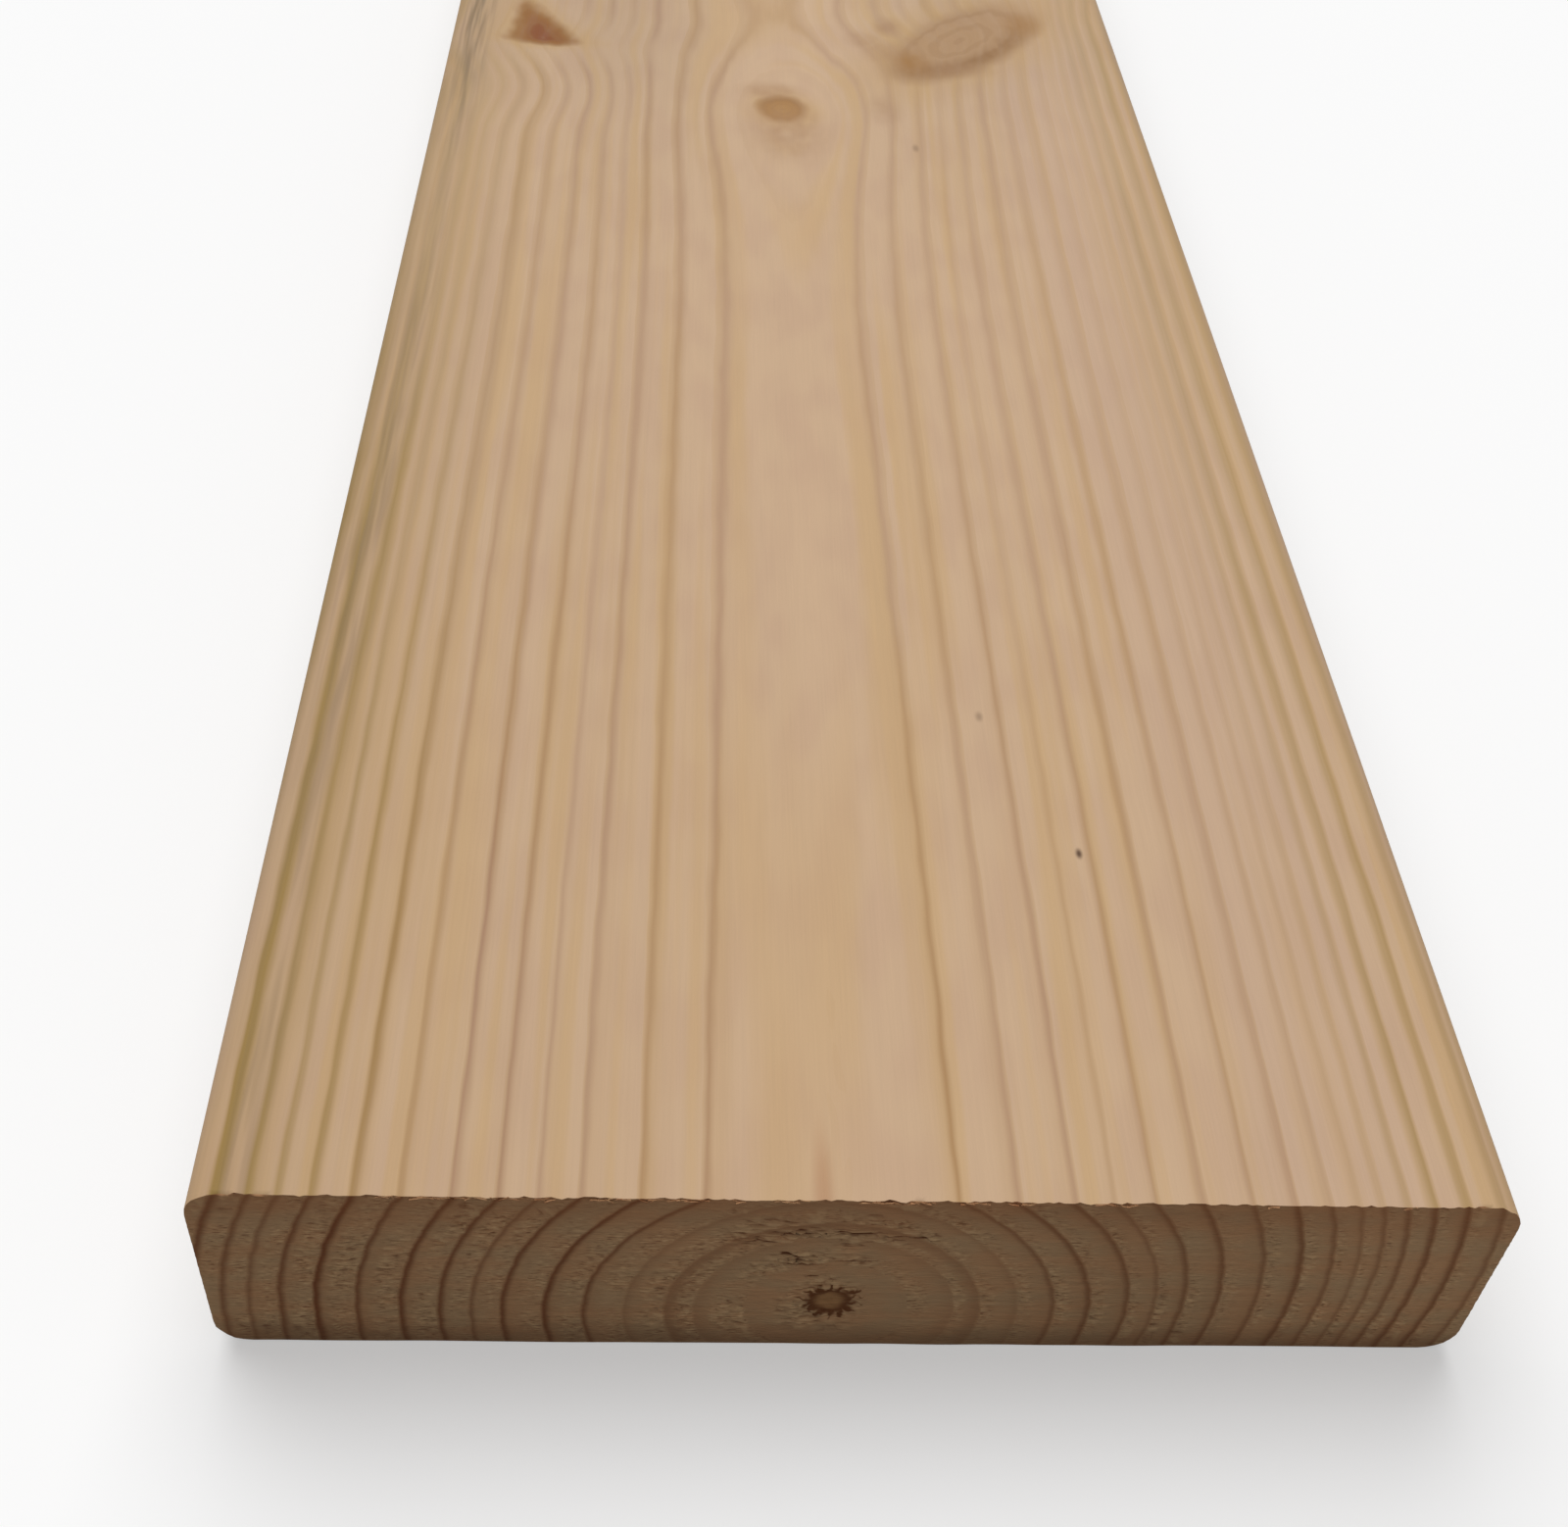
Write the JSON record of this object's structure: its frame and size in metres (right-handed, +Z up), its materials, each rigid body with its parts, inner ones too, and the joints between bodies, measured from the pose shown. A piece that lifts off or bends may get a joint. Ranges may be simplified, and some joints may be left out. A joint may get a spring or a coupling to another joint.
{
  "type": "timber plank",
  "caption": "Planed softwood plank of rectangular section with rounded long edges and square-cut ends, for joists, shelves and boards.",
  "frame": {"origin": "middle of the underside, on the surface that the plank lies on", "axes": "+Y along the length and grain, away from the end nearest the camera; +X across the width, to the right seen from that end; +Z up through the thickness"},
  "size_m": [0.22, 2.4, 0.045],
  "materials": {
    "softwood": "planed bare softwood, matt, with growth rings and knots; ends rough from the saw"
  },
  "bodies": {
    "root": {"plank": "softwood"}
  },
  "joints": []
}
